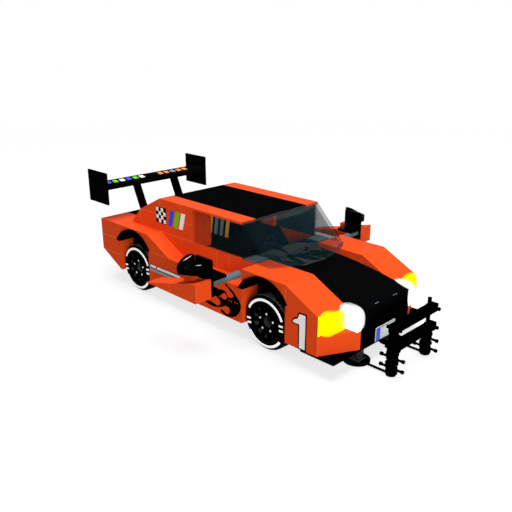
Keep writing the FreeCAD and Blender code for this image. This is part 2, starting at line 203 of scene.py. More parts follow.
def orange_abs(name):
    """Injection-moulded ABS: even satin gloss, faint flow in the colour, and a painted highlight in lighter orange on
    the joints between bricks of the side walls.
    """
    material, add, where = start_material(name)
    noise, normal = grain(add, where, 0.6 * MM, 0.12)
    axes = add("SeparateXYZ", {"Vector": where})
    outward = add("NewGeometry")["Normal"]
    across = add("SeparateXYZ", {"Vector": outward})["Y"]
    across = add("Math", {0: across}, operation="ABSOLUTE")[0]
    upright = add("Math", {0: across, 1: 0.9}, operation="GREATER_THAN")[0]
    joints = None
    for line_axis, place, along, begin, end in BRICK_JOINTS:
        line = line_mask(add, axes[line_axis], place, sizes().seam / 2)
        reach = line_mask(add, axes[along], (begin + end) / 2, (end - begin) / 2)
        line = add("Math", {0: line, 1: reach}, operation="MULTIPLY")[0]
        joints = line if joints is None else add("Math", {0: joints, 1: line}, operation="MAXIMUM")[0]
    seam = add("Math", {0: joints, 1: upright}, operation="MULTIPLY")[0]
    flow = add("TexNoise", {"Vector": where, "Scale": 1 / (9 * MM), "Detail": 1.0})["Fac"]
    shade = add("MapRange", {"Value": flow, "To Min": 0.97, "To Max": 1.0})[0]
    base = add("Mix", {"Factor": 1.0, "A": colours().orange, "B": shade},
                    data_type="RGBA", blend_type="MULTIPLY")["Result"]
    # Painted highlight: the joints on the side walls are drawn in the lighter orange
    base = add("Mix", {"Factor": seam, "A": base, "B": colours().seam_orange}, data_type="RGBA")["Result"]
    rough = add("MapRange", {"Value": noise, "To Min": 0.42, "To Max": 0.5})[0]
    end_material(add, {"Base Color": base, "Roughness": rough, "Specular IOR Level": 0.012, "Normal": normal})
    return material


def woven_print(name):
    """Carbon-look print on ABS: tiny squares, every other one a touch lighter.

    Real threads are 0.3 mm wide; they are drawn at 0.8 mm to show.
    """
    material, add, where = start_material(name)
    # Moved off the panels' flat faces, where the squares would flicker
    moved = add("Mapping", {"Vector": where, "Location": (0.13 * MM, 0.17 * MM, 0.11 * MM)})[0]
    check = add("TexChecker", {
        "Vector": moved, "Scale": 1 / sizes().weave, "Color1": colours().black, "Color2": colours().weave_light})
    bump = add("Bump", {"Height": check["Fac"], "Strength": 0.25, "Distance": 0.03 * MM})[0]
    rough = add("MapRange", {"Value": check["Fac"], "To Min": 0.42, "To Max": 0.6})[0]
    end_material(add, {"Base Color": check["Color"], "Roughness": rough, "Specular IOR Level": 0.0, "Normal": bump})
    return material


def plain_abs(name, colour, roughness, level=0.08, step=0.5 * MM, strength=0.15):
    """Moulded or printed ABS: fine grain left by the mould, slight unevenness of gloss."""
    material, add, where = start_material(name)
    noise, normal = grain(add, where, step, strength)
    rough = add("MapRange", {"Value": noise, "To Min": roughness * 0.9, "To Max": roughness * 1.15})[0]
    shade = add("MapRange", {"Value": noise, "To Min": 0.92, "To Max": 1.0})[0]
    base = add("Mix", {"Factor": 1.0, "A": colour, "B": shade}, data_type="RGBA", blend_type="MULTIPLY")["Result"]
    end_material(add, {"Base Color": base, "Roughness": rough, "Specular IOR Level": level, "Normal": normal})
    return material


def tyre_rubber(name):
    """Soft moulded rubber: dull, finely pebbled, with grey dust and sheen clouded over the tread, paling to a painted
    highlight where the tread faces up.
    """
    material, add, where = start_material(name)
    noise, normal = grain(add, where, 0.35 * MM, 0.3, 0.03 * MM)
    cloud = add("TexNoise", {"Vector": where, "Scale": 1 / (4 * MM), "Detail": 3.0})["Fac"]
    outward = add("NewGeometry")["Normal"]
    facing = add("SeparateXYZ", {"Vector": outward})
    across = add("Math", {0: facing["Y"]}, operation="ABSOLUTE")[0]
    tread = add("MapRange", {"Value": across, "From Min": 0.2, "From Max": 0.6, "To Min": 1.0, "To Max": 0.0})[0]
    # Painted highlight: the more the tread faces up, the paler its grey
    top = add("MapRange", {"Value": facing["Z"], "From Min": 0.2, "From Max": 0.8})[0]
    dust = add("Math", {0: tread, 1: cloud}, operation="MULTIPLY")[0]
    bloom = add("Mix", {"Factor": top, "A": linear("34383A"), "B": linear("B0B8BA")}, data_type="RGBA")["Result"]
    base = add("Mix", {"Factor": dust, "A": colours().rubber, "B": bloom}, data_type="RGBA")["Result"]
    rough = add("MapRange", {"Value": noise, "To Min": 0.6, "To Max": 0.8})[0]
    end_material(add, {"Base Color": base, "Roughness": rough, "Specular IOR Level": 0.01, "Normal": normal})
    return material


def clear_plastic(name, colour, alpha, roughness=0.12):
    """Clear polycarbonate, tinted in the mass: what is behind shows, darkened to the tint, with a soft shine."""
    material, add, where = start_material(name)
    noise, normal = grain(add, where, 3 * MM, 0.04)
    rough = add("MapRange", {"Value": noise, "To Min": roughness * 0.8, "To Max": roughness * 1.3})[0]
    end_material(add, {"Base Color": colour, "Alpha": alpha, "IOR": 1.58, "Specular IOR Level": 0.02,
                        "Roughness": rough, "Normal": normal})
    return material


def lit_diffuser(name, colour, strength, low):
    """Frosted lamp diffuser, or a surface given a painted glow though it is no lamp: glows evenly, a little less
    towards its rim.
    """
    material, add, where = start_material(name)
    normal = grain(add, where, 0.8 * MM, 0.1)[1]
    facing = add("LayerWeight", {"Blend": 0.35})["Facing"]
    power = add("MapRange", {"Value": facing, "To Min": strength, "To Max": low})[0]
    end_material(add, {"Base Color": colour, "Emission Color": colour, "Emission Strength": power,
                        "Roughness": 0.4, "Normal": normal})
    return material


def glow_veil(name, colour, strength):
    """Light scattered round a lamp: one of three veils, strongest at its middle and gone at its edge."""
    material, add = start_material(name)[:2]
    facing = add("LayerWeight", {"Blend": 0.5})["Facing"]
    solid = add("MapRange", {
        "Value": facing, "From Min": 0.25, "From Max": 0.95, "To Min": 0.8, "To Max": 0.0},
        interpolation_type="SMOOTHSTEP")[0]
    light = add("Emission", {"Color": colour, "Strength": strength})[0]
    clear = add("BsdfTransparent")[0]
    mixed = add("MixShader", {0: solid, 1: clear, 2: light})[0]
    add("OutputMaterial", {"Surface": mixed})
    return material


def streaked_print(name):
    """Print on the cowl: dark grey ground, clouded along the car."""
    material, add, where = start_material(name)
    along, across = 1 / (26 * MM), 1 / (3.4 * MM)
    drawn = add("Mapping", {"Vector": where, "Scale": (along, across, along)})[0]
    noise = add("TexNoise", {"Vector": drawn, "Scale": 1.0, "Detail": 3.0, "Roughness": 0.5})["Fac"]
    cloud = add("MapRange", {"Value": noise, "From Min": 0.3, "From Max": 0.7})[0]
    base = add("Mix", {"Factor": cloud, "A": linear("4A4846"), "B": linear("363432")}, data_type="RGBA")["Result"]
    end_material(add, {"Base Color": base, "Roughness": 0.5, "Specular IOR Level": 0.01})
    return material


def bare_steel(name, code, roughness):
    """Drawn steel pin or plated nut: its shine is uneven at the scale of the drawing marks."""
    material, add, where = start_material(name)
    noise = add("TexNoise", {"Vector": where, "Scale": 1 / (0.3 * MM), "Detail": 2.0})["Fac"]
    rough = add("MapRange", {"Value": noise, "To Min": roughness * 0.8, "To Max": roughness * 1.2})[0]
    end_material(add, {"Base Color": linear(code), "Metallic": 1.0, "Roughness": rough})
    return material


def recipes():
    """For each finish, the function that makes it and its values."""
    c = colours()
    return {
        "orange_abs": (orange_abs,),
        "woven_print": (woven_print,),
        "tyre_rubber": (tyre_rubber,),
        "streaked_print": (streaked_print,),
        # Black ABS without a shine: liners, wells and the nose read as deep shade
        "black_abs": (plain_abs, c.black, 0.5, 0.0),
        # Polished black ABS of the cups: sharp small highlights on a black ground
        "gloss_abs": (plain_abs, linear("010203"), 0.2, 0.005, 2 * MM, 0.05),
        # Coarser moulded black of the front frame: no shine, a slightly rough edge
        "frame_abs": (plain_abs, linear("020202"), 0.6, 0.0, 0.4 * MM, 0.3),
        # Dark grey moulded lattice: light enough for its bars to part from the frame
        "post_abs": (plain_abs, c.post_grey, 0.55, 0.2, 0.4 * MM, 0.3),
        # Moulded rim: black, so that only the nuts catch the eye
        "rim_abs": (plain_abs, linear("010101"), 0.55, 0.0),
        # Inside of the rim: a dark grey band behind the spokes
        "barrel_abs": (plain_abs, linear("26292B"), 0.4, 0.05),
        # Cap over the pin's head: dark grey with a soft shine
        "hub_abs": (plain_abs, linear("1C1E1F"), 0.3, 0.1),
        # Dark floor, seat and lining: a faint blue-black behind the glass
        "inside_abs": (plain_abs, linear("05090A"), 0.7, 0.0),
        # Grey steering wheel: just lighter than the cabin round it
        "steering_abs": (plain_abs, linear("343D40"), 0.5, 0.1),
        # Printed net behind the far window: a dull teal field
        "net_print": (plain_abs, linear("1C3E45"), 0.6, 0.0, 0.8 * MM, 0.3),
        # Smoke-tinted windscreen and the lighter side windows
        "smoke_window": (clear_plastic, c.smoke, 0.36),
        "side_glass": (clear_plastic, c.smoke, 0.26),
        # Cloudy grey polycarbonate of the arms: almost solid, softly shiny
        "grey_tube": (clear_plastic, c.tube_grey, 0.85, 0.25),
        # Red lens of an unlit tail lamp
        "tail_lens": (clear_plastic, c.red, 1.0, 0.3),
        # Lit lamps: burnt out in the middle, and the veils of light round them
        "white_lamp": (lit_diffuser, c.white_light, 3.0, 1.2),
        "yellow_lamp": (lit_diffuser, c.yellow_light, 1.1, 0.9),
        "white_glow": (glow_veil, c.white_light, 1.0),
        "yellow_glow": (glow_veil, c.yellow_light, 1.0),
        # Plate film, white and blue, given a painted glow though it is no lamp
        "plate_film": (lit_diffuser, linear("DDE2E4"), 0.3, 0.2),
        "plate_blue": (lit_diffuser, c.blue, 0.5, 0.4),
        # White rubber paint of the tyre ring, with a painted glow that keeps it clean white even in the arch's shade
        # "ring_white": (lit_diffuser, c.white, 0.3, 0.25),
        "ring_white": (lit_diffuser, c.white, 0.3, 0.25),
        # Yellow and pale film on the inner wall, with a painted glow so that it shows through the tinted window
        "bright_yellow": (lit_diffuser, linear("D09A10"), 0.55, 0.5),
        "bright_pale": (lit_diffuser, linear("5F757C"), 0.5, 0.45),
        # Blackened steel of the axles, and bright plated nuts
        "steel": (bare_steel, "1C1D1F", 0.45),
        "nut_chrome": (bare_steel, "E6E8EA", 0.15),
        # Pad-printed inks: flat colour with a slight shine, black with none; the teal, also without shine, is painted
        # shade on the edges of the cowl print
        "white_ink": (plain_abs, c.white, 0.45, 0.05),
        "black_ink": (plain_abs, c.black, 0.45, 0.0),
        "teal_ink": (plain_abs, linear("06282E"), 0.5, 0.0),
        **{ink + "_ink": (plain_abs, getattr(c, ink), 0.45) for ink in ("green", "blue", "cyan", "amber")},
        "pale_ink": (plain_abs, linear("7E98A8"), 0.45),
    }


MATERIALS = {}


def finish_of(name):
    """The finish of that name, made once."""
    if name not in MATERIALS:
        maker, *values = recipes()[name]
        MATERIALS[name] = maker(name, *values)
    return MATERIALS[name]


# Pieces

def new_object(name, data):
    """Makes an object and links it to the scene."""
    obj = bpy.data.objects.new(name, data)
    bpy.context.scene.collection.objects.link(obj)
    return obj


def put(name, mesh, finish, body, replaces=()):
    """Makes an object of a mesh, gives it its finish and hangs it on its body."""
    obj = new_object(name, mesh)
    mesh.materials.clear()
    mesh.materials.append(finish_of(finish))
    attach(obj, body)
    if replaces:
        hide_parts(*replaces)
    return obj


def from_bmesh(name, bm, smooth=True):
    """Turns a bmesh into a mesh with its faces outward."""
    bmesh.ops.recalc_face_normals(bm, faces=bm.faces)
    mesh = bpy.data.meshes.new(name)
    bm.to_mesh(mesh)
    bm.free()
    for face in mesh.polygons:
        face.use_smooth = smooth
    return mesh


def by_angle(obj, degrees):
    """Keeps edges sharper than the angle crisp."""
    bpy.context.view_layer.objects.active = obj
    for other in bpy.context.selected_objects:
        other.select_set(False)
    obj.select_set(True)
    bpy.ops.object.shade_smooth_by_angle(angle=math.radians(degrees))


def rounded(obj, width):
    """Rounds the edges sharper than 35 degrees."""
    bevel = obj.modifiers.new("edge", "BEVEL")
    bevel.width = width
    bevel.segments = 2
    bevel.limit_method = "ANGLE"
    bevel.angle_limit = math.radians(35)
    bevel.harden_normals = False


def bar_into(bm, low, high, turn=None):
    """Adds a block between two corners, turned if a matrix is given; returns its corners."""
    low, high = Vector(low), Vector(high)
    made = bmesh.ops.create_cube(bm, size=1.0)["verts"]
    middle, span = (low + high) / 2, high - low
    place = Matrix.Translation(middle) @ Matrix.Diagonal((span.x, span.y, span.z, 1))
    if turn is not None:
        place = turn @ place
    bmesh.ops.transform(bm, matrix=place, verts=made)
    return made


def rod_into(bm, start, end, radius, sides, tip=None):
    """Adds a round bar between two points, tapering to tip if given."""
    start, end = Vector(start), Vector(end)
    line = end - start
    made = bmesh.ops.create_cone(bm, cap_ends=True, segments=sides, radius1=radius,
                                 radius2=radius if tip is None else tip, depth=line.length)["verts"]
    place = Matrix.Translation((start + end) / 2) @ line.to_track_quat("Z", "Y").to_matrix().to_4x4()
    bmesh.ops.transform(bm, matrix=place, verts=made)


def lathe(profile, sides):
    """Turns a closed outline of (radius, along) about the Y axis; returns a bmesh and its rings."""
    bm = bmesh.new()
    rings = []
    for i in range(sides):
        a = 2 * math.pi * i / sides
        rings.append([bm.verts.new((r * math.cos(a), y, r * math.sin(a))) for r, y in profile])
    count = len(profile)
    for i in range(sides):
        here, there = rings[i], rings[(i + 1) % sides]
        for j in range(count):
            k = (j + 1) % count
            bm.faces.new((here[j], there[j], there[k], here[k]))
    return bm, rings


def wheel_place(node, at_face):
    """Matrix of a wheel piece built about the Y axis with its outer side towards +Y."""
    low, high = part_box(node)
    x, y, z = [(a + b) / 2 for a, b in zip(low, high)]
    left = y > 0
    if at_face:
        y = high[1] if left else low[1]
    return Matrix.Translation((x, y, z)) @ Matrix.Rotation(0 if left else math.pi, 4, "Z")


def side_place(side, x, z, wall):
    """Matrix of a print on a side wall: its X runs to the viewer's right, its Y up.

    The place is in pitches; wall is how far out it lies, less than nothing for the far wall's inside.
    """
    out, up = Vector((0, side, 0)), Vector((0, 0, 1))
    turn = Matrix((up.cross(out), up, out)).transposed().to_4x4()
    spot = grid(x, 0, z)
    return Matrix.Translation((spot.x, side * wall, spot.z)) @ turn


def sticker(name, place, shapes, finish, lift=0.0, flip=False):
    """A flat print cut to closed outlines in mm; a shape is a list of (x, y) or (x, y, 'round')."""
    curve = bpy.data.curves.new(name, "CURVE")
    curve.dimensions = "2D"
    curve.fill_mode = "BOTH"
    curve.extrude = sizes().print_thick / 2
    curve.resolution_u = 8
    for shape in shapes:
        spline = curve.splines.new("BEZIER")
        spline.bezier_points.add(len(shape) - 1)
        for knot, point in zip(spline.bezier_points, shape):
            kind = "AUTO" if len(point) > 2 else "VECTOR"
            knot.co = (point[0] * MM * (-1 if flip else 1), point[1] * MM, 0)
            knot.handle_left_type = kind
            knot.handle_right_type = kind
        spline.use_cyclic_u = True
    holder = new_object(name + "_outline", curve)
    bpy.context.view_layer.update()
    mesh = bpy.data.meshes.new_from_object(holder.evaluated_get(bpy.context.evaluated_depsgraph_get()))
    bpy.data.objects.remove(holder)
    mesh.name = name
    mesh.transform(place @ Matrix.Translation((0, 0, lift + sizes().print_thick / 2)))
    put(name, mesh, finish, "car")


def soft(points):
    """An outline that runs smoothly through its points."""
    return [(x, y, "round") for x, y in points]


def disc(radius, centre, count=10):
    """A round outline."""
    turns = [2 * math.pi * i / count for i in range(count)]
    return soft([(centre[0] + radius * math.cos(a), centre[1] + radius * math.sin(a)) for a in turns])


def slab(x0, y0, x1, y1, lean=0.0):
    """A block leaning by lean at its top."""
    return [(x0, y0), (x1, y0), (x1 + lean, y1), (x0 + lean, y1)]


SLOT_FINISHES = {
    "orange_shell": "orange_abs", "black_shell": "woven_print", "black_gloss": "gloss_abs",
    "black_frame": "frame_abs", "grey_frame": "post_abs", "smoke_clear": "smoke_window",
    "grey_clear": "grey_tube", "white_lamp": "white_lamp", "yellow_lamp": "yellow_lamp",
    "tail_lamp_red": "tail_lens", "plate_white": "plate_film", "dark_inside": "inside_abs",
    "steel_pin": "steel", "tyre_rubber": "tyre_rubber", "rim_dark": "rim_abs",
}
# Nodes whose finish isn't their slot's
NODE_FINISHES = {"window_net": "net_print", "side_window": "side_glass", "steering_wheel": "steering_abs"}
NODE_FINISHES.update(dict.fromkeys(("arch_liner_front", "arch_liner_rear", "wheel_well_front", "wheel_well_rear",
                                    "splitter", "nose", "wing_strut"), "black_abs"))


class DressShell(bpy.types.Operator):
    """Gives every carried-over solid its finish and its rounded edges"""
    bl_idname = "race_car.dress_shell"
    bl_label = "Shell finishes"

    def execute(self, context):
        for part in frame["record"]["subparts"]:
            node = part["node"]
            obj = frame["nodes"][node]
            finish = NODE_FINISHES.get(node, SLOT_FINISHES[part["material_slot"]])
            obj.data.materials.clear()
            obj.data.materials.append(finish_of(finish))
            if node in ("windscreen", "side_window"):
                obj.visible_shadow = False
            elif not node.startswith(("tyre", "axle", "steering_wheel")):
                rounded(obj, sizes().edge * (3 if node == "pod_cup" else 1))
        return {"FINISHED"}


class BuildTyres(bpy.types.Operator):
    """Builds four soft tyres with cut tread and the white ring in two arcs on the outer wall"""
    bl_idname = "race_car.tyres"
    bl_label = "Tyres"

    def execute(self, context):
        low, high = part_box("tyre_front_left")
        half = (high[1] - low[1]) / 2
        tyre = self.tyre((high[2] - low[2]) / 2, half)
        ring = self.ring(half)
        for tag, body in WHEELS:
            node = "tyre_" + tag
            place = wheel_place(node, False)
            mesh = tyre.copy()
            mesh.transform(place)
            by_angle(put("tread_" + tag, mesh, "tyre_rubber", body, [node]), 40)
            mesh = ring.copy()
            mesh.transform(place)
            # The white ring has a painted glow, though it is no lamp
            by_angle(put("white_ring_" + tag, mesh, "ring_white", body), 20)
        return {"FINISHED"}

    def tyre(self, radius, half):
        """The whole tyre: three grooves round it, and cross cuts in its shoulders, staggered side to side."""
        rim = 7.8 * MM
        wall = [(rim, -half), (rim + 0.5 * MM, -half), (rim + 1.6 * MM, -half),
                (radius - 1.5 * MM, -half + 0.15 * MM), (radius - 0.45 * MM, -half + 0.75 * MM)]
        crown = radius - 0.06 * MM
        tread = [(crown, -half + 1.25 * MM)]
        groove = sizes().tread_depth
        for middle in (-1.6, 0.0, 1.6):
            a, b = (middle - 0.3) * MM, (middle + 0.3) * MM
            tread += [(radius, a - 0.05 * MM), (radius - groove, a), (radius - groove, b), (radius, b + 0.05 * MM)]
        profile = wall + tread + [(crown, half - 1.25 * MM)] + [(r, -y) for r, y in reversed(wall)]
        sides, block, cut = 216, 12, 2
        bm, rings = lathe(profile, sides)
        for i, ring in enumerate(rings):
            for vert, (r, y) in zip(ring, profile):
                shift = block // 2 if y > 0 else 0
                if (i + shift) % block < cut and abs(y) > 0.9 * MM and r > radius - 0.5 * MM:
                    scale = (r - groove * 0.9) / r
                    vert.co.x *= scale
                    vert.co.z *= scale
        return from_bmesh("tyre", bm)

    def ring(self, half):
        """Two arcs of raised white rubber on the wall, with two short bars in each gap."""
        bm = bmesh.new()
        inner, outer = sizes().ring_inner, sizes().ring_outer
        lift, edge, steps = 0.1 * MM, 0.12 * MM, 48
        for begin, end in ((22, 154), (213, 326)):
            rows = []
            for i in range(steps + 1):
                a = math.radians(180 - (begin + (end - begin) * i / steps))
                row = []
                for r, rise in ((inner, 0), (inner + edge, lift), (outer - edge, lift), (outer, 0)):
                    # The wall falls away towards the tread from 9.6 mm out
                    y = half - (0 if r < 9.6 * MM else (r - 9.6 * MM) * 0.12)
                    row.append(bm.verts.new((r * math.cos(a), y + rise, r * math.sin(a))))
                rows.append(row)
            for here, there in zip(rows, rows[1:]):
                for k in range(3):
                    bm.faces.new((here[k], there[k], there[k + 1], here[k + 1]))
            for row in (rows[0], rows[-1]):
                bm.faces.new(row)
        length, thick = 1.0 * MM, 0.4 * MM
        for middle in (-8, 176):
            for apart in (-1.0 * MM, 1.0 * MM):
                turn = Matrix.Rotation(-math.radians(middle), 4, "Y") @ Matrix.Translation((8.9 * MM, 0, apart))
                bar_into(bm, (-length, half - 0.2 * MM, -thick), (length, half + lift, thick), turn)
        return from_bmesh("white_ring", bm)


class BuildRims(bpy.types.Operator):
    """Builds the spokes, hubs and bright nuts in front of each dished rim"""
    bl_idname = "race_car.rims"
    bl_label = "Rims"

    # Outlines in mm: radius, and depth behind the rim's face
    HUB = ((2.55, -2.35), (3.2, -2.35), (3.2, -1.5), (3.0, -1.25), (2.55, -1.25))
    LIP = ((6.75, -0.8), (7.05, -0.8), (7.05, -0.3), (6.85, -0.3))
    CAP = ((0.02, -0.7), (0.8, -0.75), (1.4, -1.1), (1.4, -1.9), (0.02, -1.9))
    BARREL = ((6.7, -0.85), (5.5, -1.85), (5.5, -1.95), (6.7, -1.95))

    def execute(self, context):
        pieces = (
            ("spokes", "rim_abs", self.spokes()),
            ("hub_ring", "rim_abs", self.turned("hub_ring", self.HUB, 48)),
            ("rim_lip", "rim_abs", self.turned("rim_lip", self.LIP, 96)),
            ("nuts", "nut_chrome", self.nuts()),
            ("hub_cap", "hub_abs", self.turned("hub_cap", self.CAP, 32)),
            ("rim_barrel", "barrel_abs", self.turned("rim_barrel", self.BARREL, 96)),
        )
        for tag, body in WHEELS:
            place = wheel_place("rim_" + tag, True)
            for name, finish, mesh in pieces:
                own = mesh.copy()
                own.transform(place)
                # The cap sits on the pin's head, which doesn't turn
                holder = "car" if name == "hub_cap" else body
                by_angle(put(name + "_" + tag, own, finish, holder), 30)
        return {"FINISHED"}

    def turned(self, name, outline, sides):
        return from_bmesh(name, lathe([(r * MM, y * MM) for r, y in outline], sides)[0])

    def spokes(self):
        """Pairs of slightly spread spokes from the hub to the rim."""
        bm = bmesh.new()
        count, width, reach = sizes().spokes, sizes().spoke_width, 7.0 * MM
        start = Vector((2.8 * MM, -1.5 * MM, 0))
        for i in range(count):
            turn = Matrix.Rotation(2 * math.pi * i / count, 4, "Y")
            for lean in (-0.09, 0.09):
                line = Vector((reach, -0.55 * MM, reach * lean)) - start
                made = bar_into(bm, (-width / 2, -0.45 * MM, 0), (width / 2, 0.35 * MM, line.length))
                aim = line.to_track_quat("Z", "Y").to_matrix().to_4x4()
                bmesh.ops.transform(bm, matrix=turn @ Matrix.Translation(start) @ aim, verts=made)
        return from_bmesh("spokes", bm, False)

    def nuts(self):
        """Five hexagon nuts with a domed end on a circle round the hub."""
        bm = bmesh.new()
        circle = 3.7 * MM
        for i in range(5):
            a = math.radians(90 + 72 * i)
            x, z = circle * math.cos(a), circle * math.sin(a)
            rod_into(bm, (x, -2.35 * MM, z), (x, -1.0 * MM, z), 0.5 * MM, 6)
            rod_into(bm, (x, -1.05 * MM, z), (x, -0.8 * MM, z), 0.42 * MM, 12, 0.2 * MM)
        return from_bmesh("nuts", bm, False)


class PrintSides(bpy.types.Operator):
    """Lays the number, the flames and the plain coloured prints on both sides"""
    bl_idname = "race_car.side_prints"
    bl_label = "Side prints"

    def execute(self, context):
        for side, tag in ((-1, "right"), (1, "left")):
            self.number(side, tag)
            self.flames(side, tag)
            self.band(side, tag)
            self.badge(side, tag)
        self.lining()
        self.inner_patch()
        return {"FINISHED"}

    def number(self, side, tag):
        """A plain figure one in white with a black edge."""
        at = side_place(side, 16.95, -2.05, SIDE)
        edge = [(-4.1, 2.2), (-3.4, 4.5), (-1.5, 5.3), (-0.6, 7.6), (3.3, 7.6), (3.3, -7.6), (-0.7, -7.6), (-0.7, 2.2)]
        face = [(-3.55, 2.75), (-2.9, 4.0), (-1.1, 4.8), (-0.2, 7.0), (2.7, 7.0), (2.7, -7.0), (-0.1, -7.0),
                (-0.1, 2.75)]
        sticker("number_edge_" + tag, at, [edge], "black_ink")
        sticker("number_face_" + tag, at, [face], "white_ink", lift=0.08 * MM)

    def lining(self):
        """Dark lining inside the rear walls; the front of each door stays bare."""
        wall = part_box("quarter_wall")[1][1] - WALL
        shape = [(0, -20.6), (0, 14.8), (16, 14.8), (16, 0.4), (33.6, 0.4), (39.6, -6.5), (52, -20.6)]
        for side, tag in ((-1, "left"), (1, "right")):
            at = side_place(side, 5, 0, -wall)
            sticker("lining_" + tag, at, [shape], "inside_abs", flip=side > 0)

    def inner_patch(self):
        """Plain leaning bars, yellow and pale, with a painted glow, inside the left wall; they show through the right
        window.
        """
        at = side_place(-1, 2.91, -1.08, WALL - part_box("wheel_well_rear")[1][1])
        bars = (("patch_yellow", "bright_yellow", (-6.0, -1.6, 11.6)), ("patch_pale", "bright_pale", (2.8, 7.2)))
        for name, finish, starts in bars:
            sticker(name, at, [slab(x, -5.6, x + 2.6, 4.4, 1.6) for x in starts], finish)

    def flames(self, side, tag):
        """Traditional hot-rod flames in black that lick back from the front wheel."""
        at = side_place(side, 13, -3, SIDE)
        flame = [
            (-9.9, 14.8), (-7.7, 14.1), (-4.9, 12.7), (-2.7, 10.8), (-1.2, 9.4), (-0.5, 7.4), (-1.0, 5.2),
            (-2.8, 2.7), (-5.4, 1.1), (-8.0, 0.5), (-10.3, 0.5), (-11.9, 1.0), (-12.9, 2.0), (-11.1, 2.1),
            (-9.8, 1.5), (-8.3, 1.5), (-7.2, 2.6), (-7.2, 4.1), (-8.4, 4.9), (-10.2, 4.7), (-12.3, 3.6),
            (-15.0, 2.7), (-18.0, 2.2), (-20.5, 2.4), (-23.0, 3.3), (-19.9, 4.0), (-17.2, 3.7), (-15.0, 3.4),
            (-13.4, 4.3), (-13.0, 5.6), (-14.1, 6.7), (-15.9, 7.5), (-17.6, 6.5), (-19.4, 5.8), (-22.5, 6.3),
            (-26.4, 8.8), (-21.5, 10.4), (-16.9, 11.5), (-14.2, 11.3), (-11.3, 11.6), (-9.8, 11.3),
            (-8.8, 10.3), (-7.8, 9.4), (-6.5, 9.5), (-5.2, 10.1), (-4.7, 10.9), (-5.4, 11.7), (-6.9, 12.7),
            (-8.4, 13.7)]
        gap = [(-12.7, 8.3), (-11.9, 9.5), (-10.3, 10.4), (-9.0, 9.8), (-8.8, 8.8), (-9.9, 7.7), (-11.4, 7.8)]
        sparks = [disc(0.3, spot) for spot in ((-7.5, 8.0), (-6.1, 8.0), (-3.7, 8.3), (-2.5, 8.2), (-13.5, 8.0))]
        sticker("flames_" + tag, at, [soft(flame)], "black_ink", flip=side > 0)
        sticker("flame_gaps_" + tag, at, [soft(gap)] + sparks, "orange_abs", lift=LAYER,
                flip=side > 0)

    def band(self, side, tag):
        """Two plain broken speed stripes, a pale one over a finer teal one."""
        at = side_place(side, 8.3 if side > 0 else 5.15, -2.2, SIDE)
        dark = [slab(-0.3, 1.8, 4.3, 3.6, 0.3), slab(4.9, 1.8, 22.8, 3.6, 0.3)]
        pale = [slab(0.0, 2.1, 4.2, 3.3, 0.3), slab(5.2, 2.1, 22.6, 3.3, 0.3)]
        fine = [slab(0.0, 0.3, 15.4, 1.1, 0.2), slab(16.4, 0.3, 22.4, 1.1, 0.2)]
        sticker("band_edges_" + tag, at, dark, "black_ink")
        sticker("band_stripe_" + tag, at, pale, "white_ink", lift=LAYER)
        sticker("band_line_" + tag, at, fine, "cyan_ink")

    def badge(self, side, tag):
        """A small chequered block with three leaning stripes beside it, a plain racing motif."""
        at = side_place(side, 5.95, 1.0, CABIN)
        cells = [slab(x, y, x + 1.8, y + 1.8) for i, x in enumerate((-10.4, -8.6, -6.8, -5.0))
                 for j, y in enumerate((-3.6, -1.8, 0.0, 1.8)) if (i + j) % 2]
        sticker("badge_block_" + tag, at, [slab(-10.7, -3.9, -2.9, 3.9)], "black_ink")
        sticker("badge_cells_" + tag, at, cells, "white_ink", lift=LAYER)
        for x, ink in ((-1.6, "blue"), (2.4, "green"), (6.4, "white")):
            sticker("badge_" + ink + "_" + tag, at, [slab(x, -3.9, x + 2.8, 3.9, 2.2)], ink + "_ink")


